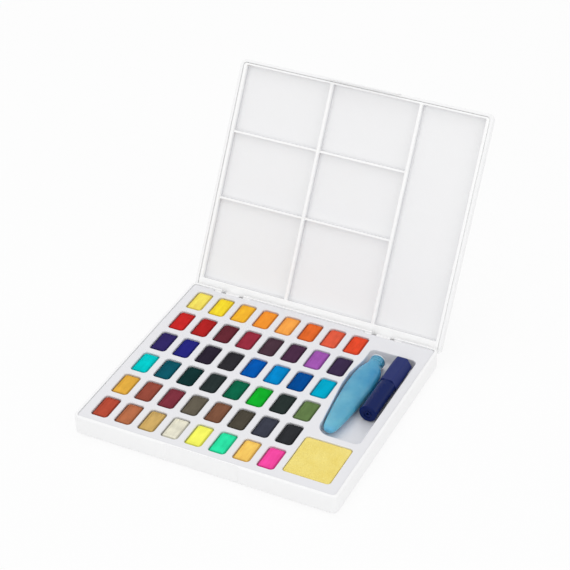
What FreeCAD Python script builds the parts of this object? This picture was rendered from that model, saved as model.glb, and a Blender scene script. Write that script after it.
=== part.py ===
import FreeCAD, Part
import os
import Sketcher

# A watercolour box, open: tub, pan tray, paint cakes, hinged lid, mixing palette, water brush, sponge.
# Millimetres and degrees. Origin under the middle of the tub, +X right, +Y to the hinges, +Z up.

SIZES = (
    # tub
    ("wall", 2.3),
    ("base_floor", 1.8),
    ("base_height", 16.8),
    ("corner_radius", 5.0),
    ("foot_radius", 2.0),
    ("rim_radius", 1.4),
    ("rim_inner_radius", 0.5),
    # thumb recess in the front wall, and the lid's tab that closes over it
    ("recess_width", 59.0),
    ("recess_slope", 2.5),
    ("recess_depth", 1.0),
    ("tab_gap", 0.25),
    ("tab_length", 5.0),
    # lid
    ("lid_depth", 8.2),
    ("lid_top", 1.7),
    ("lid_crown_radius", 2.5),
    ("lid_rim_radius", 0.3),
    ("rim_gap", 0.2),
    ("lid_open_angle", 120.0),
    # hinges: the axis lies inside the back wall, so that the open lid stops against the wall
    ("hinge_inset", 2.0),
    ("hinge_left_x", -72.3),
    ("hinge_right_x", 62.7),
    ("notch_width", 20.0),
    ("notch_clearance", 0.8),
    ("knuckle_width", 12.0),
    ("ear_width", 6.0),
    ("pin_radius", 1.0),
    ("pin_slack", 0.06),
    ("pin_fit", 0.02),
    ("pin_end_gap", 0.5),
    # tray
    ("tray_gap", 0.3),
    ("tray_drop", 1.0),
    ("tray_plate", 1.2),
    ("tray_skirt", 1.2),
    ("trough_edge_radius", 0.8),
    # paint wells and cakes
    ("well_width", 14.4),
    ("well_length", 24.8),
    ("well_radius", 3.0),
    ("well_depth", 5.0),
    ("well_lip", 0.5),
    ("well_lip_angle", 45.0),
    ("cup_wall", 1.0),
    ("cup_floor", 1.0),
    ("column_gap", 5.6),
    ("row_gap", 5.4),
    ("grid_margin_left", 7.3),
    ("grid_margin", 6.5),
    ("paint_gap", 0.05),
    ("paint_drop", 0.8),
    # brush trough
    ("trough_land", 3.0),
    ("trough_depth", 10.2),
    ("trough_radius", 4.0),
    ("trough_bend_radius", 12.0),
    ("trough_tip_taper", 5.6),
    ("trough_neck_taper", 3.4),
    ("trough_wall", 1.2),
    ("trough_floor", 1.4),
    ("trough_floor_radius", 2.0),
    ("trough_margin", 7.5),
    ("trough_back_margin", 6.5),
    # sponge and its recess
    ("sponge_width", 37.6),
    ("sponge_length", 42.1),
    ("sponge_height", 9.6),
    ("sponge_radius", 2.5),
    ("sponge_edge_radius", 1.2),
    ("sponge_gap", 0.5),
    ("sponge_seat", 0.15),
    ("sponge_margin", 9.6),
    ("sponge_land", 6.5),
    ("sponge_shift", 1.1),
    ("recess_floor_radius", 0.6),
    # brush reservoir
    ("reservoir_length", 94.0),
    ("reservoir_width", 22.4),
    ("reservoir_thickness", 12.6),
    ("reservoir_wall", 0.9),
    ("reservoir_side_gap", 1.3),
    ("reservoir_front_gap", 8.7),
    ("reservoir_back_gap", 7.7),
    ("reservoir_seat", 0.15),
    ("neck_radius", 6.1),
    ("neck_length", 9.5),
    ("plug_flange", 0.8),
    ("plug_length", 6.0),
    ("plug_gap", 0.05),
    # brush grip, cap, ferrule and tuft
    ("grip_flats", 14.6),
    ("grip_length", 30.7),
    ("grip_edge_radius", 2.0),
    ("grip_end_radius", 0.5),
    ("grip_seat", 0.15),
    ("socket_slack", 0.15),
    ("socket_depth", 13.0),
    ("spigot_radius", 5.9),
    ("spigot_length", 10.0),
    ("brush_gap", 0.15),
    ("brush_side_gap", 1.6),
    ("brush_back_gap", 5.3),
    ("cap_radius", 7.2),
    ("cap_length", 36.8),
    ("cap_fit", 0.1),
    ("cap_seat", 0.1),
    ("cap_end", 1.8),
    ("cap_end_radius", 1.0),
    ("vent_radius", 1.1),
    ("vent_ring_radius", 3.4),
    ("vent_ring_width", 0.9),
    ("vent_ring_depth", 0.6),
    ("ferrule_radius", 5.0),
    ("ferrule_tip_radius", 3.2),
    ("ferrule_length", 8.0),
    ("tuft_radius", 2.9),
    ("tuft_length", 12.0),
    # mixing palette in the lid
    ("palette_gap", 0.2),
    ("palette_inset", 0.2),
    ("palette_floor", 1.2),
    ("palette_wall", 2.9),
    ("palette_front_wall", 1.8),
    ("palette_hinge_wall", 7.8),
    ("palette_rib", 2.6),
    ("palette_bar", 1.7),
    ("palette_rib_left_x", -28.0),
    ("palette_rib_right_x", 49.5),
    ("palette_bar_back_y", 18.3),
    ("palette_bar_front_y", -37.5),
    ("palette_bar_drop", 1.5),
    ("palette_well_radius", 0.9),
    ("palette_cove_radius", 0.5),
    ("palette_edge_radius", 0.7),
    # how far a cut runs past the solid that it opens
    ("overrun", 1.0),
)

# One cake to a well, from the back row to the front, each row from left to right.
PAINTS = (
    ("lemon_yellow", "cadmium_yellow", "golden_yellow", "deep_yellow",
     "apricot", "orange", "vermilion", "scarlet"),
    ("red", "carmine", "maroon", "crimson", "aubergine", "plum", "lilac", "violet"),
    ("indigo", "ultramarine", "night_violet", "blue_black",
     "cobalt", "azure", "cerulean", "turquoise"),
    ("aqua", "petrol", "teal", "black_green", "emerald", "leaf_green", "pine", "olive"),
    ("ochre", "sienna", "oxide_red", "raw_umber", "chestnut", "sepia", "slate", "black"),
    ("copper_red", "copper", "gold", "silver",
     "neon_yellow", "neon_green", "neon_orange", "neon_pink"),
)
ROWS = len(PAINTS)
COLUMNS = len(PAINTS[0])

# The squeeze barrel from its tip to its neck: place along it, width and thickness.
BARREL_PLACE_SHARES = (0.0, 0.015, 0.05, 0.11, 0.335, 0.53, 0.75, 0.915, 0.97, 1.0)
BARREL_WIDTH_SHARES = (0.20, 0.36, 0.49, 0.575, 0.80, 0.925, 1.0, 0.89, 0.74, 0.56)
BARREL_THICKNESS_SHARES = (0.28, 0.48, 0.64, 0.74, 0.88, 0.97, 1.0, 0.99, 0.98, 0.975)
BARREL_ROUND_SHARE = 0.49
HOLLOW_FROM_SECTION = 2

# The trough's left wall follows the barrel: places along the trough where the wall bends.
TROUGH_BEND_SHARES = (0.125, 0.56, 0.69, 0.86)

# The tuft from the ferrule to its point.
TUFT_PLACE_SHARES = (0.0, 0.3, 0.7, 1.0)
TUFT_RADIUS_SHARES = (1.0, 1.05, 0.62, 0.08)

PLACES = (
    # plan of the tray, from left to right and from front to back
    ("column_pitch", "Sizes.well_width + Sizes.column_gap"),
    ("row_pitch", "Sizes.well_length + Sizes.row_gap"),
    ("grid_width", f"{COLUMNS - 1} * column_pitch + Sizes.well_width"),
    ("grid_depth", f"{ROWS - 1} * row_pitch + Sizes.well_length"),
    ("grip_reach", "Sizes.grip_flats / sqrt(3)"),
    ("grip_side", "grip_reach - Sizes.grip_edge_radius * (2 / sqrt(3) - 1)"),
    ("brush_from_reservoir",
     "Sizes.reservoir_width / 2 + max(Sizes.cap_radius; grip_side) + Sizes.brush_gap"),
    ("trough_width", "Sizes.reservoir_side_gap + Sizes.reservoir_width / 2"
     " + brush_from_reservoir + grip_reach + Sizes.brush_side_gap"),
    ("trough_length", "Sizes.reservoir_length + Sizes.plug_flange"
     " + Sizes.reservoir_front_gap + Sizes.reservoir_back_gap"),
    ("recess_length", "Sizes.sponge_length + 2 * Sizes.sponge_gap"),
    ("recess_x_width", "Sizes.sponge_width + 2 * Sizes.sponge_gap"),
    ("tray_width", "Sizes.grid_margin_left + grid_width + Sizes.trough_land"
     " + trough_width + Sizes.trough_margin"),
    ("tray_depth", "max(grid_depth + 2 * Sizes.grid_margin; Sizes.sponge_margin + recess_length"
     " + Sizes.sponge_land + trough_length + Sizes.trough_back_margin)"),
    ("tray_left", "-tray_width / 2"),
    ("tray_front", "-tray_depth / 2"),
    ("grid_x", "tray_left + Sizes.grid_margin_left + Sizes.well_width / 2"),
    ("grid_y", f"{ROWS - 1} * row_pitch / 2"),
    ("trough_left", "tray_left + Sizes.grid_margin_left + grid_width + Sizes.trough_land"),
    ("trough_x", "trough_left + trough_width / 2"),
    ("recess_y", "tray_front + Sizes.sponge_margin + recess_length / 2"),
    ("trough_right", "trough_left + trough_width"),
    ("recess_x", "trough_right - Sizes.sponge_shift - recess_x_width / 2"),
    ("trough_front", "recess_y + recess_length / 2 + Sizes.sponge_land"),
    ("trough_y", "trough_front + trough_length / 2"),
    ("trough_back", "trough_front + trough_length"),
    # tub
    ("inner_width", "tray_width + 2 * Sizes.tray_gap"),
    ("inner_depth", "tray_depth + 2 * Sizes.tray_gap"),
    ("inner_radius", "Sizes.corner_radius - Sizes.wall"),
    ("box_width", "inner_width + 2 * Sizes.wall"),
    ("box_depth", "inner_depth + 2 * Sizes.wall"),
    ("back_y", "box_depth / 2"),
    ("front_y", "-box_depth / 2"),
    # heights
    ("tray_top", "Sizes.base_height - Sizes.tray_drop"),
    ("cup_bottom", "tray_top - Sizes.well_depth - Sizes.cup_floor"),
    ("trough_bottom", "tray_top - Sizes.trough_depth"),
    # hinge: the open lid's rim meets the back wall's outer face
    ("hinge_drop", "Sizes.hinge_inset * tan(Sizes.lid_open_angle / 2 * 1deg)"),
    ("axis_y", "back_y - Sizes.hinge_inset"),
    ("axis_z", "Sizes.base_height - hinge_drop"),
    ("notch_bottom", "axis_z - hinge_drop - Sizes.notch_clearance"),
    ("ear_span", "Sizes.notch_width + 2 * Sizes.ear_width"),
    ("pin_length", "ear_span - 2 * Sizes.pin_end_gap"),
    # lid and palette, closed, counted from the hinge axis
    ("lid_rim", "hinge_drop + Sizes.rim_gap"),
    ("lid_ceiling", "lid_rim + Sizes.lid_depth - Sizes.lid_top"),
    ("lid_crown", "lid_rim + Sizes.lid_depth"),
    ("palette_rim", "lid_rim + Sizes.palette_inset"),
    ("palette_bed", "lid_ceiling - Sizes.palette_floor"),
    ("palette_width", "inner_width - 2 * Sizes.palette_gap"),
    ("palette_depth", "inner_depth - 2 * Sizes.palette_gap"),
    ("palette_in_x", "palette_width / 2 - Sizes.palette_wall"),
    ("palette_front_y", "Sizes.palette_front_wall - palette_depth / 2"),
    ("palette_back_y", "palette_depth / 2 - Sizes.palette_hinge_wall"),
    # reservoir and brush in the trough
    ("barrel_length", "Sizes.reservoir_length - Sizes.neck_length"),
    ("neck_bore", "Sizes.neck_radius - Sizes.reservoir_wall"),
    ("reservoir_x", "trough_left + Sizes.reservoir_side_gap + Sizes.reservoir_width / 2"),
    ("reservoir_z", "trough_bottom + Sizes.reservoir_seat + Sizes.reservoir_thickness / 2"),
    ("reservoir_tip_y", "trough_front + Sizes.reservoir_front_gap"),
    ("brush_x", "reservoir_x + brush_from_reservoir"),
    ("brush_z", "trough_bottom + Sizes.grip_seat + Sizes.grip_flats / 2"),
    ("brush_y", "trough_front + trough_length - Sizes.brush_back_gap - Sizes.grip_length"),
    ("tuft_root", "Sizes.spigot_length + Sizes.ferrule_length"),
)

# Two coordinates closer than this are the same place on a solid.
SAME = 1e-4

doc = FreeCAD.newDocument("watercolour_box")
nodes = []


def fill_sheet(name, rows):
    """A sheet with one named cell to a row."""
    sheet = doc.addObject("Spreadsheet::Sheet", name)
    for line, (alias, content) in enumerate(rows, 1):
        sheet.set(f"A{line}", alias)
        sheet.set(f"B{line}", str(content))
        sheet.setAlias(f"B{line}", alias)
    return sheet


def value(expression):
    """What an expression of the sheets' cells comes to."""
    return float(sizes.evalExpression(expression))


def new_body(label):
    body = doc.addObject("PartDesign::Body", label)
    body.Label = label
    nodes.append(body)
    return body


def origin_feature(body, role):
    return next(f for f in body.Origin.OriginFeatures if f.Role == role)


def place(thing, x, y, z):
    for axis, expression in zip("xyz", (x, y, z)):
        thing.setExpression(f"Placement.Base.{axis}", expression)


def new_sketch(body, x="0", y="0", z="0", plane="XY_Plane"):
    """A sketch on one of the body's origin planes, moved by x, y and z in that plane's own axes."""
    sketch = body.newObject("Sketcher::SketchObject", "Sketch")
    sketch.AttachmentSupport = [(origin_feature(body, plane), "")]
    sketch.MapMode = "FlatFace"
    for axis, expression in zip("xyz", (x, y, z)):
        sketch.setExpression(f"AttachmentOffset.Base.{axis}", expression)
    return sketch


def bind(sketch, constraint, expression):
    """Add a constraint whose size follows the sheets."""
    index = sketch.addConstraint(constraint)
    sketch.setExpression(f"Constraints[{index}]", expression)


def circle(sketch, radius, index=0):
    """A circle about the sketch's origin."""
    middle = FreeCAD.Vector(0, 0, 0)
    sketch.addGeometry(Part.Circle(middle, FreeCAD.Vector(0, 0, 1), value(radius)))
    sketch.addConstraint(Sketcher.Constraint("Coincident", index, 3, -1, 1))
    bind(sketch, Sketcher.Constraint("Radius", index, value(radius)), radius)


def polygon(sketch, corners):
    """A closed outline through corners, each a pair of expressions."""
    points = [FreeCAD.Vector(value(x), value(y), 0) for x, y in corners]
    count = len(points)
    for i, point in enumerate(points):
        sketch.addGeometry(Part.LineSegment(point, points[(i + 1) % count]))
    for i, (point, (x, y)) in enumerate(zip(points, corners)):
        sketch.addConstraint(Sketcher.Constraint("Coincident", i, 2, (i + 1) % count, 1))
        bind(sketch, Sketcher.Constraint("DistanceX", -1, 1, i, 1, point.x), x)
        bind(sketch, Sketcher.Constraint("DistanceY", -1, 1, i, 1, point.y), y)


def rectangle(sketch, x_low, x_high, y_low, y_high):
    polygon(sketch, ((x_low, y_low), (x_high, y_low), (x_high, y_high), (x_low, y_high)))


def rounded_rectangle(sketch, width, height, radius):
    """A rectangle with round corners about the sketch's origin."""
    half_w = value(width) / 2
    half_h = value(height) / 2
    r = value(radius)
    turns = ((1, -1, -90), (1, 1, 0), (-1, 1, 90), (-1, -1, 180))
    arcs = []
    for right, up, start in turns:
        middle = FreeCAD.Vector(right * (half_w - r), up * (half_h - r), 0)
        ring = Part.Circle(middle, FreeCAD.Vector(0, 0, 1), r)
        first = FreeCAD.Units.Quantity(start, FreeCAD.Units.Angle).getValueAs("rad")
        last = FreeCAD.Units.Quantity(start + 90, FreeCAD.Units.Angle).getValueAs("rad")
        arcs.append(Part.ArcOfCircle(ring, first.Value, last.Value))
    for i, arc in enumerate(arcs):
        sketch.addGeometry(Part.LineSegment(arcs[i - 1].EndPoint, arc.StartPoint))
        sketch.addGeometry(arc)
    sides = 2 * len(arcs)
    for i in range(sides):
        sketch.addConstraint(Sketcher.Constraint("Tangent", i, 2, (i + 1) % sides, 1))
    for i, way in enumerate(("Horizontal", "Vertical", "Horizontal", "Vertical")):
        sketch.addConstraint(Sketcher.Constraint(way, 2 * i))
    for i in (3, 5, 7):
        sketch.addConstraint(Sketcher.Constraint("Equal", 1, i))
    sketch.addConstraint(Sketcher.Constraint("Symmetric", 1, 3, 5, 3, -1, 1))
    bind(sketch, Sketcher.Constraint("DistanceX", 6, 1, 2, 1, 2 * half_w), width)
    bind(sketch, Sketcher.Constraint("DistanceY", 0, 1, 4, 1, 2 * half_h), height)
    bind(sketch, Sketcher.Constraint("Radius", 1, r), radius)


def prism(body, kind, sketch, length, both_ways=False, backwards=False):
    feature = body.newObject(kind, kind.split("::")[1])
    feature.Profile = sketch
    feature.setExpression("Length", length)
    feature.SideType = "Symmetric" if both_ways else "One side"
    feature.Reversed = backwards
    doc.recompute()
    return feature


def add(body, sketch, length, both_ways=False, backwards=False):
    """Grow the sketch along its normal into a solid part of the body."""
    before = body.Shape.Volume if body.Tip else 0
    feature = prism(body, "PartDesign::Pad", sketch, length, both_ways, backwards)
    if body.Shape.Volume <= before:
        raise RuntimeError(f"{body.Label}: {feature.Name} adds nothing")
    return feature


def cut(body, sketch, length, both_ways=False, backwards=False):
    """Cut the sketch out of the body, against its normal unless backwards."""
    before = body.Shape.Volume
    feature = prism(body, "PartDesign::Pocket", sketch, length, both_ways, backwards)
    if body.Shape.Volume >= before:
        raise RuntimeError(f"{body.Label}: {feature.Name} cuts nothing")
    return feature


def edges_on(body, **limits):
    """Names of the edges of a body's own solid that span exactly the given places on each named axis."""
    names = []
    wanted = {axis: [value(expression) for expression in places] for axis, places in limits.items()}
    for i, edge in enumerate(body.Tip.Shape.Edges, 1):
        box = edge.BoundBox
        spans = {"x": (box.XMin, box.XMax), "y": (box.YMin, box.YMax), "z": (box.ZMin, box.ZMax)}
        gaps = []
        for axis, places in wanted.items():
            gaps += [abs(end - where) for end, where in zip(spans[axis], places)]
        if max(gaps) < SAME:
            names.append(f"Edge{i}")
    if not names:
        raise RuntimeError(f"{body.Label}: no edge at {limits}")
    return names


def round_edges(body, radius, names):
    before = body.Tip
    feature = body.newObject("PartDesign::Fillet", "Fillet")
    feature.Base = (before, names)
    feature.setExpression("Radius", radius)
    doc.recompute()
    return feature


def flat(expression):
    """Both ends of a span that has no length."""
    return (expression, expression)


def loft(body, kind, places, radii=None, widths=None, heights=None):
    """A loft through sections at places along Z: circles, or round-ended ovals."""
    sections = []
    for i, where in enumerate(places):
        sketch = new_sketch(body, z=where)
        if radii:
            circle(sketch, radii[i])
        else:
            corner = f"{BARREL_ROUND_SHARE} * min({widths[i]}; {heights[i]})"
            rounded_rectangle(sketch, widths[i], heights[i], corner)
        sections.append(sketch)
    feature = body.newObject(kind, kind.split("::")[1])
    feature.Profile = sections[0]
    feature.Sections = sections[1:]
    doc.recompute()
    return feature


def hinge_centres():
    return ("Sizes.hinge_left_x", "Sizes.hinge_right_x")


def make_base():
    body = new_body("base_shell")
    outline = new_sketch(body)
    rounded_rectangle(outline, "Places.box_width", "Places.box_depth", "Sizes.corner_radius")
    add(body, outline, "Sizes.base_height")
    cavity = new_sketch(body, z="Sizes.base_height")
    rounded_rectangle(cavity, "Places.inner_width", "Places.inner_depth", "Places.inner_radius")
    cut(body, cavity, "Sizes.base_height - Sizes.base_floor")
    rim = flat("Sizes.base_height")
    round_edges(body, "Sizes.foot_radius", edges_on(body, z=flat("0"), y=flat("Places.front_y")))
    outer_rim = edges_on(body, z=rim, y=flat("Places.front_y"))
    round_edges(body, "Sizes.rim_radius", outer_rim)
    inner_rim = edges_on(body, z=rim, y=flat("-Places.inner_depth / 2"))
    round_edges(body, "Sizes.rim_inner_radius", inner_rim)
    for x in hinge_centres():
        ears = new_sketch(body, x=x, z="Sizes.base_floor / 2")
        rectangle(ears, "-Places.ear_span / 2", "Places.ear_span / 2",
                  "Places.axis_y - Sizes.hinge_inset", "Places.back_y - Sizes.wall / 2")
        add(body, ears, "Places.axis_z + Sizes.hinge_inset - Sizes.base_floor / 2")
        notch = new_sketch(body, x=x, z="Sizes.base_height")
        rectangle(notch, "-Sizes.notch_width / 2", "Sizes.notch_width / 2",
                  "Places.axis_y - Sizes.hinge_inset - Sizes.overrun", "Places.back_y + Sizes.overrun")
        cut(body, notch, "Sizes.base_height - Places.notch_bottom")
        bore = new_sketch(body, "Places.axis_y", "Places.axis_z", x, plane="YZ_Plane")
        circle(bore, "Sizes.pin_radius + Sizes.pin_fit")
        cut(body, bore, "Places.ear_span", both_ways=True)
    recess = new_sketch(body, y="Places.front_y", z="Sizes.base_height")
    mouth = "Sizes.recess_width / 2 + Sizes.recess_slope"
    polygon(recess, ((f"-({mouth})", "-Sizes.overrun"), (mouth, "-Sizes.overrun"), (mouth, "0"),
                     ("Sizes.recess_width / 2", "Sizes.recess_depth"),
                     ("-Sizes.recess_width / 2", "Sizes.recess_depth"), (f"-({mouth})", "0")))
    cut(body, recess, "Sizes.base_height")


def hanging_box(body, x, y, width, length):
    """A solid box under the tray's plate, to be hollowed from above."""
    block = new_sketch(body, x, y, "Places.trough_bottom - Sizes.trough_floor")
    half_width = f"{width} / 2 + Sizes.trough_wall"
    half_length = f"{length} / 2 + Sizes.trough_wall"
    rectangle(block, f"-({half_width})", half_width, f"-({half_length})", half_length)
    add(body, block, "Sizes.trough_depth + Sizes.trough_floor - Sizes.tray_plate / 2")


def trough_corners():
    """The trough's outline: the bends of its left wall, which follows the barrel, and its other corners."""
    bends = [f"Places.trough_front + {share} * Places.trough_length" for share in TROUGH_BEND_SHARES]
    tip_side = "Places.trough_left + Sizes.trough_tip_taper"
    neck_side = "Places.trough_left + Sizes.trough_neck_taper"
    wall = ((tip_side, "Places.trough_front"), (tip_side, bends[0]), ("Places.trough_left", bends[1]),
            ("Places.trough_left", bends[2]), (neck_side, bends[3]))
    ends = ((neck_side, "Places.trough_back"), ("Places.trough_right", "Places.trough_back"),
            ("Places.trough_right", "Places.trough_front"))
    return wall, ends


def cut_trough(body):
    wall, ends = trough_corners()
    hollow = new_sketch(body, z="Places.tray_top")
    polygon(hollow, wall + ends)
    cut(body, hollow, "Sizes.trough_depth")
    for radius, corners in (("Sizes.trough_bend_radius", wall), ("Sizes.trough_radius", ends)):
        names = []
        for x, y in corners:
            names += edges_on(body, x=flat(x), y=flat(y), z=("Places.trough_bottom", "Places.tray_top"))
        round_edges(body, radius, names)
    floor = edges_on(body, z=flat("Places.trough_bottom"), y=flat("Places.trough_front"))
    round_edges(body, "Sizes.trough_floor_radius", floor)


def make_tray():
    body = new_body("pan_tray")
    outline = new_sketch(body, z="Sizes.base_floor")
    radius = "Places.inner_radius - Sizes.tray_gap"
    rounded_rectangle(outline, "Places.tray_width", "Places.tray_depth", radius)
    add(body, outline, "Places.tray_top - Sizes.base_floor")
    underside = new_sketch(body, z="Sizes.base_floor")
    rounded_rectangle(underside, "Places.tray_width - 2 * Sizes.tray_skirt",
                      "Places.tray_depth - 2 * Sizes.tray_skirt", f"{radius} - Sizes.tray_skirt")
    cut(body, underside, "Places.tray_top - Sizes.base_floor - Sizes.tray_plate", backwards=True)
    hanging_box(body, "Places.trough_x", "Places.trough_y", "Places.trough_width", "Places.trough_length")
    cut_trough(body)
    recess_radius = "(Sizes.sponge_radius + Sizes.sponge_gap)"
    hanging_box(body, "Places.recess_x", "Places.recess_y", "Places.recess_x_width", "Places.recess_length")
    recess = new_sketch(body, "Places.recess_x", "Places.recess_y", "Places.tray_top")
    rounded_rectangle(recess, "Places.recess_x_width", "Places.recess_length", recess_radius)
    cut(body, recess, "Sizes.trough_depth")
    recess_front = flat("Places.recess_y - Places.recess_length / 2")
    recess_floor = edges_on(body, z=flat("Places.trough_bottom"), y=recess_front)
    round_edges(body, "Sizes.recess_floor_radius", recess_floor)
    top = flat("Places.tray_top")
    mouths = edges_on(body, z=top, y=flat("Places.trough_front")) + edges_on(body, z=top, y=recess_front)
    round_edges(body, "Sizes.trough_edge_radius", mouths)
    for x in hinge_centres():
        relief = new_sketch(body, x=x, z="Places.tray_top")
        reach = "Places.ear_span / 2 + Sizes.tray_gap"
        rectangle(relief, f"-({reach})", reach, "Places.axis_y - Sizes.hinge_inset - Sizes.tray_gap",
                  "Places.back_y")
        cut(body, relief, "Places.tray_top - Sizes.base_floor")
    cup = new_sketch(body, "Places.grid_x", "Places.grid_y", "Places.cup_bottom")
    rounded_rectangle(cup, "Sizes.well_width + 2 * Sizes.cup_wall",
                      "Sizes.well_length + 2 * Sizes.cup_wall", "Sizes.well_radius + Sizes.cup_wall")
    cups = add(body, cup, "Sizes.well_depth + Sizes.cup_floor - Sizes.tray_plate / 2")
    well = new_sketch(body, "Places.grid_x", "Places.grid_y", "Places.tray_top")
    rounded_rectangle(well, "Sizes.well_width", "Sizes.well_length", "Sizes.well_radius")
    wells = cut(body, well, "Sizes.well_depth")
    lip = new_sketch(body, "Places.grid_x", "Places.grid_y", "Places.tray_top")
    rounded_rectangle(lip, "Sizes.well_width + 2 * Sizes.well_lip",
                      "Sizes.well_length + 2 * Sizes.well_lip", "Sizes.well_radius + Sizes.well_lip")
    lips = cut(body, lip, "Sizes.well_lip / tan(Sizes.well_lip_angle * 1deg)")
    lips.setExpression("TaperAngle", "-Sizes.well_lip_angle")
    grid = body.newObject("PartDesign::LinearPattern", "Grid")
    grid.Originals = [cups, wells, lips]
    grid.Direction = (origin_feature(body, "X_Axis"), [""])
    grid.setExpression("Length", f"{COLUMNS - 1} * Places.column_pitch")
    grid.Occurrences = COLUMNS
    grid.Direction2 = (origin_feature(body, "Y_Axis"), [""])
    grid.Reversed2 = True
    grid.setExpression("Length2", f"{ROWS - 1} * Places.row_pitch")
    grid.Occurrences2 = ROWS
    body.Tip = grid
    doc.recompute()


def make_paints():
    for row, names in enumerate(PAINTS):
        for column, name in enumerate(names):
            body = new_body("paint_" + name)
            outline = new_sketch(body)
            rounded_rectangle(outline, "Sizes.well_width - 2 * Sizes.paint_gap",
                              "Sizes.well_length - 2 * Sizes.paint_gap",
                              "Sizes.well_radius - Sizes.paint_gap")
            add(body, outline, "Sizes.well_depth - Sizes.paint_drop")
            place(body, f"Places.grid_x + {column} * Places.column_pitch",
                  f"Places.grid_y - {row} * Places.row_pitch", "Places.tray_top - Sizes.well_depth")


def open_lid(body):
    """Turn a body that is drawn closed, about the hinge axis, to where the open lid stands."""
    body.setExpression("Placement", "placement(vector(0; Places.axis_y; Places.axis_z);"
                       " rotation(vector(-1; 0; 0); Sizes.lid_open_angle))")


def make_lid():
    body = new_body("lid_shell")
    outline = new_sketch(body, y="-Places.axis_y", z="Places.lid_rim")
    rounded_rectangle(outline, "Places.box_width", "Places.box_depth", "Sizes.corner_radius")
    add(body, outline, "Sizes.lid_depth")
    cavity = new_sketch(body, y="-Places.axis_y", z="Places.lid_rim")
    rounded_rectangle(cavity, "Places.inner_width", "Places.inner_depth", "Places.inner_radius")
    cut(body, cavity, "Sizes.lid_depth - Sizes.lid_top", backwards=True)
    front = "Places.front_y - Places.axis_y"
    inner_front = "-Places.inner_depth / 2 - Places.axis_y"
    round_edges(body, "Sizes.lid_crown_radius", edges_on(body, z=flat("Places.lid_crown"), y=flat(front)))
    rim = flat("Places.lid_rim")
    rim_edges = edges_on(body, z=rim, y=flat(front)) + edges_on(body, z=rim, y=flat(inner_front))
    round_edges(body, "Sizes.lid_rim_radius", rim_edges)
    for x in hinge_centres():
        arm = new_sketch(body, z=x, plane="YZ_Plane")
        rectangle(arm, "Sizes.hinge_inset - Sizes.wall", "Sizes.hinge_inset", "0",
                  "Places.lid_rim + Sizes.lid_top")
        add(body, arm, "Sizes.knuckle_width", both_ways=True)
        knuckle = new_sketch(body, z=x, plane="YZ_Plane")
        circle(knuckle, "Sizes.hinge_inset")
        add(body, knuckle, "Sizes.knuckle_width", both_ways=True)
        bore = new_sketch(body, z=x, plane="YZ_Plane")
        circle(bore, "Sizes.pin_radius + Sizes.pin_slack")
        cut(body, bore, "Sizes.knuckle_width + Sizes.overrun", both_ways=True)
    tab = new_sketch(body, y=front, z="Places.lid_rim + Sizes.lid_top")
    mouth = "Sizes.recess_width / 2 + Sizes.recess_slope - Sizes.tab_gap"
    foot = "Sizes.recess_width / 2 - Sizes.tab_gap"
    depth = "Sizes.recess_depth - Sizes.tab_gap"
    polygon(tab, ((f"-({mouth})", "0"), (mouth, "0"), (foot, depth), (f"-({foot})", depth)))
    add(body, tab, "Sizes.tab_length + Sizes.lid_top", backwards=True)
    open_lid(body)


def palette_wells():
    """The barred columns, and each well's left, right, front and back, about the middle of the box."""
    half_rib = "Sizes.palette_rib / 2"
    half_bar = "Sizes.palette_bar / 2"
    columns = (("-Places.palette_in_x", f"Sizes.palette_rib_left_x - {half_rib}"),
               (f"Sizes.palette_rib_left_x + {half_rib}", f"Sizes.palette_rib_right_x - {half_rib}"))
    rows = (("Places.palette_front_y", f"Sizes.palette_bar_front_y - {half_bar}"),
            (f"Sizes.palette_bar_front_y + {half_bar}", f"Sizes.palette_bar_back_y - {half_bar}"),
            (f"Sizes.palette_bar_back_y + {half_bar}", "Places.palette_back_y"))
    wells = [column + row for column in columns for row in rows]
    wells.append((f"Sizes.palette_rib_right_x + {half_rib}", "Places.palette_in_x",
                  "Places.palette_front_y", "Places.palette_back_y"))
    return columns, wells


def make_palette():
    body = new_body("mixing_palette")
    outline = new_sketch(body, y="-Places.axis_y", z="Places.palette_rim")
    rounded_rectangle(outline, "Places.palette_width", "Places.palette_depth",
                      "Places.inner_radius - Sizes.palette_gap")
    add(body, outline, "Places.lid_ceiling - Places.palette_rim")
    columns, wells = palette_wells()
    for left, right, near, far in wells:
        well = new_sketch(body, f"(({left}) + ({right})) / 2",
                          f"(({near}) + ({far})) / 2 - Places.axis_y", "Places.palette_rim")
        rounded_rectangle(well, f"({right}) - ({left})", f"({far}) - ({near})", "Sizes.palette_well_radius")
        cut(body, well, "Places.palette_bed - Places.palette_rim", backwards=True)
    round_edges(body, "Sizes.palette_cove_radius", edges_on(body, z=flat("Places.palette_bed")))
    reach = "(Sizes.palette_bar + Sizes.palette_well_radius)"
    for left, right in columns:
        bars = new_sketch(body, y="-Places.axis_y", z="Places.palette_rim")
        rectangle(bars, left, right, f"Sizes.palette_bar_front_y - {reach}",
                  f"Sizes.palette_bar_back_y + {reach}")
        cut(body, bars, "Sizes.palette_bar_drop", backwards=True)
    round_edges(body, "Sizes.palette_edge_radius", edges_on(body, z=flat("Places.palette_rim")))
    open_lid(body)


def make_pins():
    pins = []
    for x in hinge_centres():
        pin = doc.addObject("Part::Cylinder", "Pin")
        pin.setExpression("Radius", "Sizes.pin_radius")
        pin.setExpression("Height", "Places.pin_length")
        pin.Placement.Rotation = FreeCAD.Rotation(FreeCAD.Vector(0, 1, 0), 90)
        place(pin, f"{x} - Places.pin_length / 2", "Places.axis_y", "Places.axis_z")
        pins.append(pin)
    pair = doc.addObject("Part::Compound", "hinge_pins")
    pair.Links = pins
    pair.Label = "hinge_pins"
    nodes.append(pair)


def lie_in_trough(body):
    """Lay a body that is drawn upright along the trough, its tip to the front."""
    body.setExpression("Placement", "placement(vector(Places.reservoir_x; Places.reservoir_tip_y;"
                       " Places.reservoir_z); rotation(0; 0; -90))")


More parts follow.
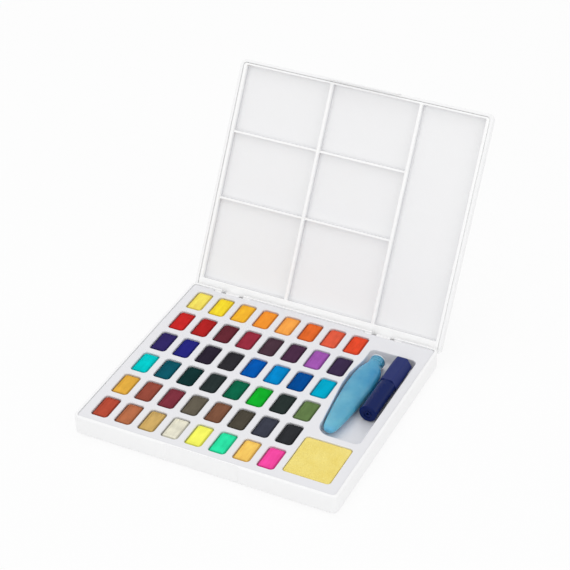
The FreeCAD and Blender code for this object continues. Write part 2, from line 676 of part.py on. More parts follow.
def make_reservoir():
    body = new_body("brush_reservoir")
    places = [f"{share} * Places.barrel_length" for share in BARREL_PLACE_SHARES]
    widths = [f"{share} * Sizes.reservoir_width" for share in BARREL_WIDTH_SHARES]
    heights = [f"{share} * Sizes.reservoir_thickness" for share in BARREL_THICKNESS_SHARES]
    loft(body, "PartDesign::AdditiveLoft", places, widths=widths, heights=heights)
    neck = new_sketch(body, z="Places.barrel_length - Sizes.reservoir_wall")
    circle(neck, "Sizes.neck_radius")
    add(body, neck, "Sizes.neck_length + Sizes.reservoir_wall")
    first = HOLLOW_FROM_SECTION
    inner = [f"({size}) - 2 * Sizes.reservoir_wall" for size in widths[first:]]
    inner_heights = [f"({size}) - 2 * Sizes.reservoir_wall" for size in heights[first:]]
    before = body.Shape.Volume
    loft(body, "PartDesign::SubtractiveLoft", places[first:], widths=inner, heights=inner_heights)
    if body.Shape.Volume >= before:
        raise RuntimeError("the reservoir has no hollow")
    bore = new_sketch(body, z="Sizes.reservoir_length")
    circle(bore, "Places.neck_bore")
    cut(body, bore, "Sizes.neck_length + Sizes.reservoir_wall")
    lie_in_trough(body)


def make_plug():
    body = new_body("reservoir_plug")
    flange = new_sketch(body, z="Sizes.reservoir_length")
    circle(flange, "Sizes.neck_radius")
    add(body, flange, "Sizes.plug_flange")
    stem = new_sketch(body, z="Sizes.reservoir_length")
    circle(stem, "Places.neck_bore - Sizes.plug_gap")
    add(body, stem, "Sizes.plug_length", backwards=True)
    lie_in_trough(body)


def lie_as_brush(body):
    """Lay a brush piece that is drawn upright, from the end of its grip up to its tip, along the trough."""
    body.setExpression("Placement", "placement(vector(Places.brush_x; Places.brush_y; Places.brush_z);"
                       " rotation(0; 0; 90))")


def make_grip():
    body = new_body("brush_grip")
    prism_sketch = new_sketch(body)
    side = "Places.grip_reach / 2"
    flat_side = "Sizes.grip_flats / 2"
    polygon(prism_sketch, (("Places.grip_reach", "0"), (side, flat_side), (f"-{side}", flat_side),
                           ("-Places.grip_reach", "0"), (f"-{side}", f"-{flat_side}"),
                           (side, f"-{flat_side}")))
    add(body, prism_sketch, "Sizes.grip_length", backwards=True)
    round_edges(body, "Sizes.grip_edge_radius", edges_on(body, z=("-Sizes.grip_length", "0")))
    end_edges = edges_on(body, z=flat("-Sizes.grip_length"))
    round_edges(body, "Sizes.grip_end_radius", end_edges)
    spigot = new_sketch(body)
    circle(spigot, "Sizes.spigot_radius")
    add(body, spigot, "Sizes.spigot_length")
    socket = new_sketch(body, z="-Sizes.grip_length")
    circle(socket, "Sizes.neck_radius + Sizes.socket_slack")
    cut(body, socket, "Sizes.socket_depth", backwards=True)
    lie_as_brush(body)


def make_cap():
    body = new_body("brush_cap")
    barrel = new_sketch(body, z="Sizes.cap_seat")
    circle(barrel, "Sizes.cap_radius")
    add(body, barrel, "Sizes.cap_length - Sizes.cap_seat")
    end = flat("Sizes.cap_length")
    round_edges(body, "Sizes.cap_end_radius", edges_on(body, z=end))
    bore = new_sketch(body, z="Sizes.cap_seat")
    circle(bore, "Sizes.spigot_radius + Sizes.cap_fit")
    cut(body, bore, "Sizes.cap_length - Sizes.cap_seat - Sizes.cap_end", backwards=True)
    vent = new_sketch(body, z="Sizes.cap_length")
    circle(vent, "Sizes.vent_radius")
    cut(body, vent, "Sizes.cap_end + Sizes.overrun")
    ring = new_sketch(body, z="Sizes.cap_length")
    circle(ring, "Sizes.vent_ring_radius")
    circle(ring, "Sizes.vent_ring_radius - Sizes.vent_ring_width", 1)
    cut(body, ring, "Sizes.vent_ring_depth")
    lie_as_brush(body)


def make_tip():
    ferrule = doc.addObject("Part::Cone", "brush_ferrule")
    ferrule.setExpression("Radius1", "Sizes.ferrule_radius")
    ferrule.setExpression("Radius2", "Sizes.ferrule_tip_radius")
    ferrule.setExpression("Height", "Sizes.ferrule_length")
    ferrule.Label = "brush_ferrule"
    ferrule.Placement.Rotation = FreeCAD.Rotation(FreeCAD.Vector(1, 0, 0), 90)
    place(ferrule, "Places.brush_x", "Places.brush_y - Sizes.spigot_length", "Places.brush_z")
    nodes.append(ferrule)
    tuft = new_body("brush_tuft")
    places = [f"Places.tuft_root + {share} * Sizes.tuft_length" for share in TUFT_PLACE_SHARES]
    radii = [f"{share} * Sizes.tuft_radius" for share in TUFT_RADIUS_SHARES]
    loft(tuft, "PartDesign::AdditiveLoft", places, radii=radii)
    lie_as_brush(tuft)


def make_sponge():
    body = new_body("sponge")
    outline = new_sketch(body)
    rounded_rectangle(outline, "Sizes.sponge_width", "Sizes.sponge_length", "Sizes.sponge_radius")
    add(body, outline, "Sizes.sponge_height")
    edges = edges_on(body, z=flat("Sizes.sponge_height")) + edges_on(body, z=flat("0"))
    round_edges(body, "Sizes.sponge_edge_radius", edges)
    place(body, "Places.recess_x", "Places.recess_y", "Places.trough_bottom + Sizes.sponge_seat")


def write_parts():
    """Write each sub-part to its own file, once the whole document is sound."""
    for thing in doc.Objects:
        if "Invalid" in thing.State or "Error" in thing.State:
            raise RuntimeError(f"{thing.Label} failed: {thing.State}")
    for node in nodes:
        if node.Shape.isNull() or not node.Shape.isValid():
            raise RuntimeError(f"{node.Label} is not a sound solid")
    os.makedirs("parts", exist_ok=True)
    for node in nodes:
        node.Shape.exportStep(f"parts/{node.Label}.step")
        print(node.Label, len(node.Shape.Solids), round(node.Shape.Volume, 2))


sizes = fill_sheet("Sizes", SIZES)
fill_sheet("Places", [(alias, "=" + formula) for alias, formula in PLACES])
doc.recompute()
make_base()
make_tray()
make_paints()
make_lid()
make_palette()
make_pins()
make_reservoir()
make_plug()
make_grip()
make_cap()
make_tip()
make_sponge()
doc.recompute()
write_parts()
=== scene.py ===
import colorsys
import math

import bpy
from mathutils import Matrix, Vector


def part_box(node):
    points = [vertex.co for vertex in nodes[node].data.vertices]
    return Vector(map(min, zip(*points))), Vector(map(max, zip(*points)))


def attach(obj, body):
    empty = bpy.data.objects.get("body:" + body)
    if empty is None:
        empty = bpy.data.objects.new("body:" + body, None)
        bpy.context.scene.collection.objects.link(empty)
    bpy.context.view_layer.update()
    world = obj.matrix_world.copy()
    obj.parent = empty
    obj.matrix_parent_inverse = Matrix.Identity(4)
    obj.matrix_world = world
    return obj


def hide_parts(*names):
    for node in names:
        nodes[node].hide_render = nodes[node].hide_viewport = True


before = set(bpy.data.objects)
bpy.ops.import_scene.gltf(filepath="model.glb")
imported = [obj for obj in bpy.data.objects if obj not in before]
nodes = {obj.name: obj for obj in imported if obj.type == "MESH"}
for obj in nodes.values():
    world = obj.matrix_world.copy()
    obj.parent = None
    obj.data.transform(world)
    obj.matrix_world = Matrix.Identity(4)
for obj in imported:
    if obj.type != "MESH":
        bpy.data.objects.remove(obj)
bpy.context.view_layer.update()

# Lengths are in metres, and colours are red, green and blue up to 255, where no comment says otherwise.

# The camera of the photograph: its place, the ways that it faces, and its lens and sensor in millimetres
CAMERA_PLACE = (0.5260, -1.0146, 0.9185)
CAMERA_RIGHT = Vector((0.8992, 0.4373, -0.0108))
CAMERA_AHEAD = Vector((-0.3622, 0.7306, -0.5787))
CAMERA_LENS = 119.05
CAMERA_SENSOR = 36.0
CAMERA_NEAR = 0.05

# The lid's axis and how far it stands open
LID_AXIS = Vector((0.0, 0.095, 0.013336))
LID_OPEN = math.radians(120)

# Finishes of moulded plastic: the nodes that have them, the light and the dark of their flow marks, their
# roughness, the depth of their spark texture, and their specular level
MOULDED_FINISHES = {
    "shell_white": (("base_shell", "lid_shell"), (248, 248, 248), (246, 246, 247), 0.34, 0.000012, 0.5),
    "insert_white": (("pan_tray",), (233, 233, 236), (230, 230, 234), 0.26, 0.000008, 0.5),
    "plug_white": (("reservoir_plug",), (228, 234, 238), (218, 226, 232), 0.4, 0.00001, 0.5),
    "grip_navy": (("brush_grip",), (34, 46, 108), (28, 40, 98), 0.5, 0.00004, 0.2),
    "cap_navy": (("brush_cap",), (10, 32, 92), (8, 26, 82), 0.14, 0.00001, 0.12),
    "ferrule_white": (("brush_ferrule",), (222, 226, 230), (212, 218, 224), 0.35, 0.00001, 0.5),
}
HARD_PLASTIC_IOR = 1.49
SOFT_PLASTIC_IOR = 1.45

# The mixing palette: its tones, with painted shade on the feet of its walls, and the depths into the lid,
# counted from the lid's axis, at which its rims turn into its greyer floors, the painted shade starts on its
# walls, and it ends just above the floors
PALETTE_RIM = ((252, 252, 252), (251, 251, 251))
PALETTE_FLOOR = ((243, 243, 244), (241, 241, 242))
PALETTE_FOOT_SHADE = (218, 218, 221)
PALETTE_ROUGHNESS = 0.3
PALETTE_SPARK = 0.000008
FLOOR_FADE = (0.0066, 0.008)
FOOT_SHADE_FADE = (0.0056, 0.0082)
FOOT_SHADE_END = (0.0086, 0.00892)

# Plain colours for the named paints: hue in degrees, saturation and value, in steps of ten and of tenths
CAKE_COLOURS = {
    "lemon_yellow": (50, 0.6, 1.0), "cadmium_yellow": (50, 0.8, 1.0), "golden_yellow": (40, 0.8, 1.0),
    "deep_yellow": (30, 0.8, 1.0), "apricot": (30, 0.7, 1.0), "orange": (20, 0.8, 0.9),
    "vermilion": (10, 0.7, 0.9), "scarlet": (10, 0.8, 0.9),
    "red": (0, 0.8, 0.8), "carmine": (0, 0.8, 0.7), "maroon": (350, 0.6, 0.4), "crimson": (350, 0.7, 0.6),
    "aubergine": (330, 0.3, 0.3), "plum": (310, 0.4, 0.3), "lilac": (290, 0.5, 0.7),
    "violet": (270, 0.4, 0.3),
    "indigo": (250, 0.6, 0.4), "ultramarine": (240, 0.7, 0.5), "night_violet": (270, 0.3, 0.2),
    "blue_black": (250, 0.1, 0.2), "cobalt": (210, 1.0, 0.7), "azure": (200, 1.0, 0.8),
    "cerulean": (210, 1.0, 0.6), "turquoise": (190, 1.0, 0.8),
    "aqua": (180, 1.0, 0.8), "petrol": (190, 0.9, 0.4), "teal": (180, 0.7, 0.2),
    "black_green": (180, 0.2, 0.2), "emerald": (160, 0.9, 0.4), "leaf_green": (130, 0.9, 0.7),
    "pine": (170, 0.2, 0.2), "olive": (90, 0.4, 0.5),
    "ochre": (40, 0.7, 0.9), "sienna": (10, 0.6, 0.6), "oxide_red": (350, 0.6, 0.5),
    "raw_umber": (40, 0.2, 0.4), "chestnut": (20, 0.5, 0.5), "sepia": (40, 0.2, 0.3),
    "slate": (230, 0.2, 0.3), "black": (220, 0.1, 0.2),
    "copper_red": (10, 0.7, 0.7), "copper": (20, 0.6, 0.7), "gold": (40, 0.5, 0.8),
    "silver": (50, 0.1, 0.9), "neon_yellow": (60, 0.6, 1.0), "neon_green": (160, 0.8, 0.9),
    "neon_orange": (40, 0.6, 1.0), "neon_pink": (330, 0.7, 1.0),
}
PEARL_CAKES = ("copper_red", "copper", "gold", "silver")

# Shares of a cake's colour: where dust lies on it, where the press left it dense, and the painted shade on
# its rim
DUSTY_SHARE = 1.12
DENSE_SHARE = 0.86
RIM_SHADE_SHARE = 0.7

# The visual cake: how much smaller it is than the CAD's on each side, how much higher, and its rounded edges
CAKE_GAP = 0.0001
CAKE_RISE = 0.0004
CAKE_CORNER = 0.00295
CAKE_RIM = 0.0006
# Edges whose heights differ by less than this lie on its top
SAME_HEIGHT = 0.000001
# The steps of its hollow top: how far in, and how far down
CAKE_STEPS = ((0.0004, 0.0), (0.0009, -0.00012), (0.0008, -0.00006))
# The mesh attribute that marks the painted shade on its rim, in full below one depth and a little on the
# shoulder above that
RIM_SHADE_MARK = "rim_shade"
RIM_DEPTH = 0.00025
SHOULDER_DEPTHS = (0.00005, 0.0001)
SHOULDER_SHADE_MARK = 0.15

# The sponge: how far it swells beyond the CAD's on each side, its edges, and its pores
SPONGE_SWELL = Vector((0.0003, 0.0003, 0))
SPONGE_CORNER = 0.0025
SPONGE_EDGE = 0.0011
FOAM_GRID = 0.0004
FOAM_BUBBLE = 0.0017
FOAM_PIT = 0.0004
FOAM_SMOOTHING = 60.0

# The squeeze barrel: where its tip lies in the trough, how far from there it is paler, and the soft square
# that it is drawn out of
BARREL_TIP = Vector((0.0701, -0.0265, 0.01205))
BARREL_PALE = 0.07
BARREL_SQUARE = 0.002
BARREL_CORNER = 0.00092
# Its rings from the tip: place along it, half width and half thickness, in millimetres. The outside runs
# from the tip to the end of the neck, and the inside from there back to the tip.
MM_PER_METRE = 1000
BARREL_OUTSIDE = (
    (0.0, 1.2, 1.0), (0.15, 2.4, 1.8), (1.2, 4.1, 3.0), (4.2, 5.45, 4.0), (9.3, 6.4, 4.6),
    (28.3, 8.95, 5.5), (44.8, 10.35, 6.1), (63.4, 11.15, 6.28), (76.5, 10.1, 6.2), (81.5, 8.4, 6.1),
    (84.3, 6.5, 6.1), (85.6, 6.05, 6.05), (87.0, 6.05, 6.05), (87.3, 5.7, 5.7), (88.4, 5.7, 5.7),
    (88.7, 6.0, 6.0), (89.4, 6.0, 6.0), (89.7, 5.7, 5.7), (90.8, 5.7, 5.7), (91.1, 6.0, 6.0),
    (91.8, 6.0, 6.0), (92.1, 5.7, 5.7), (92.9, 5.7, 5.7), (93.1, 6.0, 6.0), (93.9, 6.0, 6.0),
)
BARREL_INSIDE = (
    (94.0, 5.6, 5.6), (93.7, 5.2, 5.2), (92.0, 5.2, 5.2), (85.5, 5.2, 5.2), (83.6, 5.6, 5.2),
    (80.8, 7.4, 5.2), (76.0, 9.1, 5.3), (63.4, 10.25, 5.38), (44.8, 9.45, 5.2), (28.3, 8.05, 4.6),
    (9.5, 5.5, 3.7), (4.8, 4.5, 3.1), (2.6, 3.2, 2.1), (2.1, 1.4, 1.0), (2.0, 0.6, 0.5),
)

# The studio: the floor, the share of its paper that glows to the eye, the light of the sky on the object,
# and the lamps with their places, sizes and watts
FLOOR_SIZE = 6.0
FLOOR_DROP = 0.0004
FLOOR_GLOW = 0.86
SKY_LIGHT = 0.82
LAMPS = (
    ("key_light", (-0.4, 0.35, 1.7), 1.2, 3.5),
    ("fill_light", (1.4, -0.2, 0.8), 1.0, 2.5),
    ("front_light", (-0.2, -1.5, 0.7), 1.2, 3.0),
)

# The colour sockets of a Mix node
MIX_FIRST, MIX_SECOND, MIX_RESULT = 6, 7, 2


def camera_of_the_photograph():
    lens = bpy.data.cameras.new("view_camera")
    lens.lens = CAMERA_LENS
    lens.sensor_width = CAMERA_SENSOR
    lens.clip_start = CAMERA_NEAR
    eye = bpy.data.objects.new("view_camera", lens)
    bpy.context.collection.objects.link(eye)
    right = CAMERA_RIGHT.normalized()
    ahead = CAMERA_AHEAD.normalized()
    turn = Matrix((right, right.cross(ahead), -ahead)).transposed().to_4x4()
    eye.matrix_world = Matrix.Translation(CAMERA_PLACE) @ turn
    bpy.context.scene.camera = eye


# Colours and shader nodes


def linear(colour):
    """A colour of 255 as the shader's linear red, green, blue and alpha, by the sRGB curve."""
    parts = [c / 255 for c in colour]
    return [p / 12.92 if p <= 0.04045 else ((p + 0.055) / 1.055) ** 2.4 for p in parts] + [1.0]


def share_of(colour, share):
    """A share of a linear colour, held at white."""
    return [min(1.0, c * share) for c in colour[:3]] + [1.0]


def set_inputs(tree, node, values):
    """Set a node's inputs, with a link where a value is another node's output."""
    for label, value in values.items():
        if isinstance(value, bpy.types.NodeSocket):
            tree.links.new(value, node.inputs[label])
        else:
            node.inputs[label].default_value = value


def noise_node(tree, vector, scale, detail, rough=0.5):
    node = tree.nodes.new("ShaderNodeTexNoise")
    set_inputs(tree, node, {"Vector": vector, "Scale": scale, "Detail": detail, "Roughness": rough})
    return node.outputs["Fac"]


def math_node(tree, operation, first, second):
    node = tree.nodes.new("ShaderNodeMath")
    node.operation = operation
    set_inputs(tree, node, {0: first, 1: second})
    return node.outputs[0]


def range_node(tree, value, low, high, from_low=0.3, from_high=0.7):
    """A value brought from one range, by default the middle of a noise, into another."""
    node = tree.nodes.new("ShaderNodeMapRange")
    set_inputs(tree, node, {"Value": value, "From Min": from_low, "From Max": from_high,
                            "To Min": low, "To Max": high})
    return node.outputs["Result"]


def tint_node(tree, factor, first, second):
    node = tree.nodes.new("ShaderNodeMix")
    node.data_type = "RGBA"
    set_inputs(tree, node, {"Factor": factor, MIX_FIRST: first, MIX_SECOND: second})
    return node.outputs[MIX_RESULT]


def stretch_node(tree, vector, scale):
    """Coordinates that draw a pattern out along y."""
    node = tree.nodes.new("ShaderNodeMapping")
    set_inputs(tree, node, {"Vector": vector, "Scale": (1.0, scale, 1.0)})
    return node.outputs["Vector"]


def bump_node(tree, height, depth):
    node = tree.nodes.new("ShaderNodeBump")
    set_inputs(tree, node, {"Height": height, "Distance": depth, "Strength": 1.0})
    return node.outputs["Normal"]


def straight_rays(tree):
    """1 for a ray that shows the background itself: from the eye, off a gloss or through clear matter."""
    rays = tree.nodes.new("ShaderNodeLightPath").outputs
    seen = math_node(tree, "MAXIMUM", rays["Is Camera Ray"], rays["Is Glossy Ray"])
    return math_node(tree, "MAXIMUM", seen, rays["Is Transmission Ray"])


# Shader groups that several finishes share


def new_group(name, inputs, outputs):
    group = bpy.data.node_groups.new(name, "ShaderNodeTree")
    for label, kind, value in inputs:
        socket = group.interface.new_socket(label, in_out="INPUT", socket_type=kind)
        socket.default_value = value
    for label in outputs:
        group.interface.new_socket(label, in_out="OUTPUT", socket_type="NodeSocketFloat")
    return group, group.nodes.new("NodeGroupInput").outputs, group.nodes.new("NodeGroupOutput")


def moulding_group():
    """Flow marks and the fine spark texture of an injection mould."""
    group, given, made = new_group(
        "Moulding marks",
        (("Vector", "NodeSocketVector", (0, 0, 0)), ("Gloss", "NodeSocketFloat", 0.3)),
        ("Flow", "Roughness", "Height"))
    flow = noise_node(group, given["Vector"], scale=14.0, detail=3.0)
    spark = noise_node(group, given["Vector"], scale=2600.0, detail=2.0)
    smears = noise_node(group, given["Vector"], scale=70.0, detail=4.0, rough=0.6)
    spread = range_node(group, smears, low=-0.03, high=0.03, from_low=0.0, from_high=1.0)
    set_inputs(group, made, {
        "Flow": range_node(group, flow, low=0.0, high=1.0, from_low=0.1, from_high=0.9),
        "Roughness": math_node(group, "ADD", given["Gloss"], spread),
        "Height": spark,
    })
    return group


def pressed_group():
    """Grain, faint press streaks and dust of a dry paint cake."""
    group, given, made = new_group(
        "Pressed pigment",
        (("Vector", "NodeSocketVector", (0, 0, 0)), ("Grain", "NodeSocketFloat", 0.5)),
        ("Tone", "Roughness", "Height"))
    drawn = stretch_node(group, given["Vector"], scale=0.22)
    streak = noise_node(group, drawn, scale=420.0, detail=4.0, rough=0.6)
    grain = noise_node(group, given["Vector"], scale=1900.0, detail=3.0, rough=0.7)
    cloud = noise_node(group, given["Vector"], scale=110.0, detail=3.0)
    mixed = math_node(group, "ADD", math_node(group, "MULTIPLY", streak, 0.5),
                      math_node(group, "MULTIPLY", cloud, 0.5))
    rough = math_node(group, "MULTIPLY", grain, given["Grain"])
    set_inputs(group, made, {
        "Tone": range_node(group, mixed, low=0.0, high=1.0, from_low=0.36, from_high=0.64),
        "Roughness": range_node(group, cloud, low=0.34, high=0.58),
        "Height": math_node(group, "ADD", rough, streak),
    })
    return group


def place_group(tree, group, vector, **values):
    node = tree.nodes.new("ShaderNodeGroup")
    node.node_tree = group
    set_inputs(tree, node, {"Vector": vector, **values})
    return node.outputs


# Finishes


def new_finish(name):
    """An empty material: its tree, its Principled shader and its object coordinates."""
    finish = bpy.data.materials.new(name)
    finish.use_nodes = True
    tree = finish.node_tree
    place = tree.nodes.new("ShaderNodeTexCoord")
    return finish, tree, tree.nodes["Principled BSDF"], place.outputs["Object"]


def moulded_plastic(name, light, dark, gloss, spark, shine):
    finish, tree, shader, place = new_finish(name)
    marks = place_group(tree, MOULDING, place, Gloss=gloss)
    set_inputs(tree, shader, {
        "Base Color": tint_node(tree, marks["Flow"], linear(light), linear(dark)),
        "Roughness": marks["Roughness"],
        "Normal": bump_node(tree, marks["Height"], spark),
        "IOR": HARD_PLASTIC_IOR,
        "Specular IOR Level": shine,
    })
    return finish


def palette_plastic():
    """White plastic whose mixing floors are greyer than its rims, and whose walls carry painted shade
    towards their feet.
    """
    finish, tree, shader, place = new_finish("palette_white")
    marks = place_group(tree, MOULDING, place, Gloss=PALETTE_ROUGHNESS)
    into_lid = Vector((0.0, math.sin(LID_OPEN), math.cos(LID_OPEN)))
    reach = tree.nodes.new("ShaderNodeVectorMath")
    reach.operation = "DOT_PRODUCT"
    set_inputs(tree, reach, {0: place, 1: into_lid})
    depth = math_node(tree, "SUBTRACT", reach.outputs["Value"], LID_AXIS.dot(into_lid))
    floor = range_node(tree, depth, 0.0, 1.0, *FLOOR_FADE)
    # Painted shade: the walls and coves darken towards their feet, as shade falls there in the wells.
    foot_shade = math_node(tree, "MULTIPLY", range_node(tree, depth, 0.0, 1.0, *FOOT_SHADE_FADE),
                     range_node(tree, depth, 1.0, 0.0, *FOOT_SHADE_END))
    rims, beds = (tint_node(tree, marks["Flow"], linear(light), linear(dark))
                  for light, dark in (PALETTE_RIM, PALETTE_FLOOR))
    plain = tint_node(tree, floor, rims, beds)
    set_inputs(tree, shader, {
        "Base Color": tint_node(tree, foot_shade, plain, linear(PALETTE_FOOT_SHADE)),
        "Roughness": marks["Roughness"],
        "Normal": bump_node(tree, marks["Height"], PALETTE_SPARK),
        "IOR": HARD_PLASTIC_IOR,
    })
    return finish


def squeeze_bottle_plastic():
    """Light blue translucent polythene, cloudy, and paler where the barrel thins out towards its tip."""
    finish, tree, shader, place = new_finish("translucent_blue")
    marks = place_group(tree, MOULDING, place, Gloss=0.2)
    parts = tree.nodes.new("ShaderNodeSeparateXYZ")
    set_inputs(tree, parts, {"Vector": place})
    thin = range_node(tree, parts.outputs["Y"], low=0.6, high=0.0,
                      from_low=BARREL_TIP.y, from_high=BARREL_TIP.y + BARREL_PALE)
    clouds = range_node(tree, noise_node(tree, place, scale=75.0, detail=3.0), low=0.0, high=0.4)
    pale = math_node(tree, "ADD", thin, clouds)
    set_inputs(tree, shader, {
        "Base Color": tint_node(tree, pale, linear((48, 144, 202)), linear((120, 200, 236))),
        "Roughness": marks["Roughness"],
        "Normal": bump_node(tree, marks["Height"], depth=0.00002),
        "IOR": SOFT_PLASTIC_IOR,
        "Subsurface Weight": 0.8,
        "Subsurface Radius": (0.5, 0.9, 1.0),
        "Subsurface Scale": 0.006,
    })
    return finish


def paint_finish(name, colour):
    """Pressed paint, with painted shade that darkens the cake's rim, and a metal sheen where it is a pearl
    colour.
    """
    finish, tree, shader, place = new_finish("cake_" + name)
    pressed = place_group(tree, PRESSED, place, Grain=0.5)
    hue, saturation, value = colour
    full = linear([255 * c for c in colorsys.hsv_to_rgb(hue / 360, saturation, value)])
    body = tint_node(tree, pressed["Tone"], share_of(full, DENSE_SHARE), share_of(full, DUSTY_SHARE))
    # Painted shade: the rim is darkened as the shade of the gap round the cake.
    rim_shade = tree.nodes.new("ShaderNodeAttribute")
    rim_shade.attribute_name = RIM_SHADE_MARK
    set_inputs(tree, shader, {
        "Base Color": tint_node(tree, rim_shade.outputs["Fac"], body, share_of(full, RIM_SHADE_SHARE)),
        "Roughness": pressed["Roughness"],
        "Normal": bump_node(tree, pressed["Height"], depth=0.00006),
        "Specular IOR Level": 0.015,
    })
    if name in PEARL_CAKES:
        sheen = range_node(tree, pressed["Tone"], low=0.25, high=0.7, from_low=0.0, from_high=1.0)
        set_inputs(tree, shader, {"Metallic": sheen})
    return finish


def sponge_finish():
    """Open-pored yellow foam."""
    finish, tree, shader, place = new_finish("sponge_foam")
    cells = tree.nodes.new("ShaderNodeTexVoronoi")
    set_inputs(tree, cells, {"Vector": place, "Scale": 900.0})
    pores = cells.outputs["Distance"]
    cloud = noise_node(tree, place, scale=90.0, detail=4.0)
    fine = noise_node(tree, place, scale=1500.0, detail=3.0)
    tone = math_node(tree, "ADD", range_node(tree, cloud, low=0.0, high=0.6),
                     range_node(tree, pores, low=0.0, high=0.4, from_low=0.1, from_high=0.6))
    set_inputs(tree, shader, {
        "Base Color": tint_node(tree, tone, linear((238, 214, 108)), linear((247, 229, 136))),
        "Roughness": 0.92,
        "Normal": bump_node(tree, math_node(tree, "ADD", pores, fine), depth=0.0003),
        "Specular IOR Level": 0.2,
    })
    return finish


def fibre_finish():
    finish, tree, shader, place = new_finish("brush_fibre")
    hairs = noise_node(tree, stretch_node(tree, place, scale=0.05), scale=5200.0, detail=2.0)
    set_inputs(tree, shader, {
        "Base Color": tint_node(tree, hairs, linear((205, 200, 188)), linear((244, 242, 236))),
        "Roughness": 0.6,
        "Normal": bump_node(tree, hairs, depth=0.0001),
    })
    return finish


def steel_finish():
    finish, tree, shader, place = new_finish("pin_steel")
    marks = place_group(tree, MOULDING, place, Gloss=0.32)
    set_inputs(tree, shader, {
        "Base Color": tint_node(tree, marks["Flow"], linear((178, 178, 180)), linear((196, 196, 198))),
        "Roughness": marks["Roughness"],
        "Metallic": 1.0,
    })
    return finish


def dress(node, finish):
    """Give a CAD node's object its finish."""
    for place in nodes[node].material_slots:
        place.material = finish


# Modelling helpers


def start_block(name, low, high):
    """A block between two corners, open in edit mode with nothing selected."""
    bpy.ops.object.select_all(action="DESELECT")
    bpy.ops.mesh.primitive_cube_add(size=1.0, location=(low + high) / 2, scale=high - low)
    piece = bpy.context.object
    piece.name = name
    bpy.ops.object.transform_apply(location=True, rotation=True, scale=True)
    bpy.ops.object.mode_set(mode="EDIT")
    bpy.ops.mesh.select_all(action="DESELECT")
    return piece


def pick(piece, kind, test):
    """Select the edges or faces of the piece in edit mode that pass a test of their place and direction."""
    bpy.ops.object.mode_set(mode="OBJECT")
    mesh = piece.data
    for thing in list(mesh.polygons) + list(mesh.edges) + list(mesh.vertices):
        thing.select = False
    for thing in getattr(mesh, kind):
        if kind == "polygons":
            thing.select = test(thing.center, thing.normal)
        else:
            first, second = (mesh.vertices[v].co for v in thing.vertices)
            thing.select = test((first + second) / 2, (second - first).normalized())
    bpy.ops.object.mode_set(mode="EDIT")
    bpy.ops.mesh.select_mode(type="FACE" if kind == "polygons" else "EDGE")


def upright(middle, way):
    return abs(way.z) > 0.9


def level(middle, way):
    return abs(way.z) < 0.1


def facing_up(middle, normal):
    return normal.z > 0.99


def finish_piece(piece, finish, angle=35.0):
    bpy.ops.object.mode_set(mode="OBJECT")
    bpy.ops.object.shade_smooth_by_angle(angle=math.radians(angle))
    piece.data.materials.clear()
    piece.data.materials.append(finish)


# Pieces


def model_cake():
    """One pressed cake in the first well, with round corners, a soft rim marked for painted shade and a
    hollow top.
    """
    low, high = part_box("paint_lemon_yellow")
    low = Vector(low) + Vector((CAKE_GAP, CAKE_GAP, 0))
    high = Vector(high) + Vector((-CAKE_GAP, -CAKE_GAP, CAKE_RISE))
    top = high.z
    cake = start_block("cake_pattern", low, high)
    pick(cake, "edges", upright)
    bpy.ops.mesh.bevel(offset=CAKE_CORNER, segments=6, affect="EDGES")
    pick(cake, "edges", lambda middle, way: abs(middle.z - top) < SAME_HEIGHT)
    bpy.ops.mesh.bevel(offset=CAKE_RIM, segments=3, affect="EDGES")
    pick(cake, "polygons", facing_up)
    for inset, sink in CAKE_STEPS:
        bpy.ops.mesh.inset(thickness=inset)
        bpy.ops.transform.translate(value=(0, 0, sink))
    bpy.ops.object.mode_set(mode="OBJECT")
    # Painted shade: mark the rim, where the shade of the gap round the cake is painted.
    rim_shade = cake.data.attributes.new(RIM_SHADE_MARK, "FLOAT", "POINT")
    for point, mark in zip(cake.data.vertices, rim_shade.data):
        drop = top - point.co.z
        if drop > RIM_DEPTH:
            mark.value = 1.0
        elif SHOULDER_DEPTHS[0] < drop < SHOULDER_DEPTHS[1]:
            mark.value = SHOULDER_SHADE_MARK
    return cake


def lay_cakes():
    """A copy of the cake in every well, each in its own colour."""
    pattern = model_cake()
    first = Vector(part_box("paint_lemon_yellow")[0])
    for name, colour in CAKE_COLOURS.items():
        bpy.ops.object.select_all(action="DESELECT")
        pattern.select_set(True)
        bpy.context.view_layer.objects.active = pattern
        bpy.ops.object.duplicate(linked=False)
        cake = bpy.context.object
        cake.name = "cake_" + name
        cake.location = Vector(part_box("paint_" + name)[0]) - first
        bpy.ops.object.transform_apply(location=True, rotation=False, scale=False)
        finish_piece(cake, paint_finish(name, colour))
        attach(cake, "base")
        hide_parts("paint_" + name)
    bpy.data.objects.remove(pattern)


def model_sponge():
    """A pressed foam block with soft edges, whose surface is pitted with open pores."""
    low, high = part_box("sponge")
    sponge = start_block("sponge_block", Vector(low) - SPONGE_SWELL, Vector(high) + SPONGE_SWELL)
    pick(sponge, "edges", upright)
    bpy.ops.mesh.bevel(offset=SPONGE_CORNER, segments=4, affect="EDGES")
    pick(sponge, "edges", level)
    bpy.ops.mesh.bevel(offset=SPONGE_EDGE, segments=3, affect="EDGES")
    bpy.ops.object.mode_set(mode="OBJECT")
    grid = sponge.modifiers.new("even_grid", "REMESH")
    grid.mode = "VOXEL"
    grid.voxel_size = FOAM_GRID
    bubbles = bpy.data.textures.new("foam_bubbles", "VORONOI")
    bubbles.noise_scale = FOAM_BUBBLE
    pits = sponge.modifiers.new("pits", "DISPLACE")
    pits.texture = bubbles
    pits.texture_coords = "LOCAL"
    pits.mid_level = 1.0
    pits.strength = FOAM_PIT
    for name in ("even_grid", "pits"):
        bpy.ops.object.modifier_apply(modifier=name)
    finish_piece(sponge, sponge_finish(), FOAM_SMOOTHING)
    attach(sponge, "sponge")
    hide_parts("sponge")


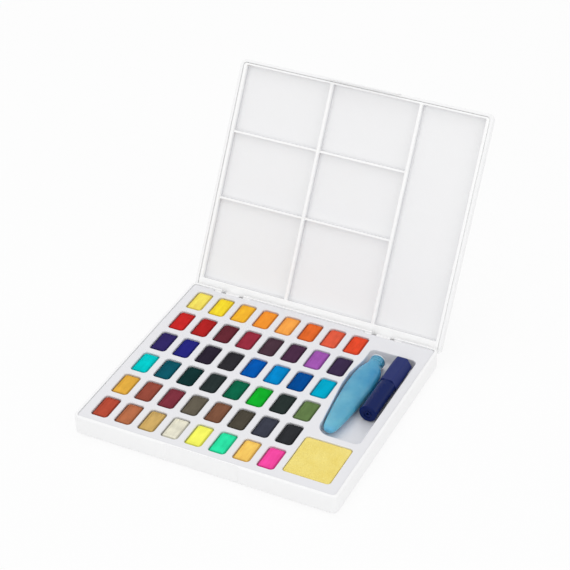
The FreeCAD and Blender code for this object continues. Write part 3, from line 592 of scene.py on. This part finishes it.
def model_barrel(finish):
    """The blown squeeze barrel: a hollow oval body drawn out of a soft square, with rings on its neck."""
    bpy.ops.object.select_all(action="DESELECT")
    bpy.ops.mesh.primitive_plane_add(size=BARREL_SQUARE, rotation=(math.pi / 2, 0, 0))
    barrel = bpy.context.object
    barrel.name = "squeeze_barrel"
    bpy.ops.object.transform_apply(location=True, rotation=True, scale=True)
    bpy.ops.object.mode_set(mode="EDIT")
    bpy.ops.mesh.select_all(action="SELECT")
    bpy.ops.mesh.bevel(offset=BARREL_CORNER, segments=6, affect="VERTICES")
    bpy.ops.mesh.select_all(action="SELECT")
    along, wide, thick = 0.0, 1.0, 1.0
    for place, width, thickness in BARREL_OUTSIDE + BARREL_INSIDE:
        if place != along:
            step = (0, (place - along) / MM_PER_METRE, 0)
            bpy.ops.mesh.extrude_region_move(TRANSFORM_OT_translate={"value": step})
        bpy.ops.transform.resize(value=(width / wide, 1, thickness / thick),
                                 center_override=(0, place / MM_PER_METRE, 0))
        along, wide, thick = place, width, thickness
    bpy.ops.mesh.select_all(action="SELECT")
    bpy.ops.mesh.normals_make_consistent(inside=False)
    bpy.ops.object.mode_set(mode="OBJECT")
    rounding = barrel.modifiers.new("rounding", "SUBSURF")
    rounding.levels = rounding.render_levels = 2
    bpy.ops.object.modifier_apply(modifier="rounding")
    barrel.location = BARREL_TIP
    bpy.ops.object.transform_apply(location=True, rotation=True, scale=True)
    finish_piece(barrel, finish)
    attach(barrel, "reservoir")
    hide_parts("brush_reservoir")


# The studio


def lay_floor():
    """White paper under the box, which glows to the eye and keeps the box's shadow."""
    bpy.ops.object.select_all(action="DESELECT")
    bpy.ops.mesh.primitive_plane_add(size=FLOOR_SIZE, location=(0, 0, -FLOOR_DROP))
    floor = bpy.context.object
    floor.name = "floor"
    paper, tree, shader, _ = new_finish("white_paper")
    set_inputs(tree, shader, {"Base Color": (0.9, 0.9, 0.9, 1.0), "Roughness": 0.9})
    glow = tree.nodes.new("ShaderNodeEmission")
    set_inputs(tree, glow, {"Strength": 1.0})
    both = tree.nodes.new("ShaderNodeMixShader")
    set_inputs(tree, both, {
        "Fac": math_node(tree, "MULTIPLY", straight_rays(tree), FLOOR_GLOW),
        1: shader.outputs["BSDF"],
        2: glow.outputs["Emission"],
    })
    set_inputs(tree, tree.nodes["Material Output"], {"Surface": both.outputs["Shader"]})
    floor.data.materials.append(paper)


def light_studio():
    """A white sky, and soft lamps above the back, on the right and in front."""
    world = bpy.data.worlds.new("studio")
    world.use_nodes = True
    bpy.context.scene.world = world
    sky = world.node_tree
    strength = range_node(sky, straight_rays(sky), low=SKY_LIGHT, high=1.0, from_low=0.0, from_high=1.0)
    set_inputs(sky, sky.nodes["Background"], {"Color": (1.0, 1.0, 1.0, 1.0), "Strength": strength})
    for name, place, size, power in LAMPS:
        lamp = bpy.data.lights.new(name, "AREA")
        lamp.energy = power
        lamp.size = size
        holder = bpy.data.objects.new(name, lamp)
        bpy.context.collection.objects.link(holder)
        holder.location = place
        holder.rotation_euler = (-Vector(place)).to_track_quat("-Z", "Y").to_euler()
    bpy.context.scene.view_settings.view_transform = "Standard"


camera_of_the_photograph()
MOULDING = moulding_group()
PRESSED = pressed_group()
for finish_name, (dressed, *looks) in MOULDED_FINISHES.items():
    plastic = moulded_plastic(finish_name, *looks)
    for node_name in dressed:
        dress(node_name, plastic)
dress("mixing_palette", palette_plastic())
dress("hinge_pins", steel_finish())
dress("brush_tuft", fibre_finish())
lay_cakes()
model_sponge()
model_barrel(squeeze_bottle_plastic())
lay_floor()
light_studio()
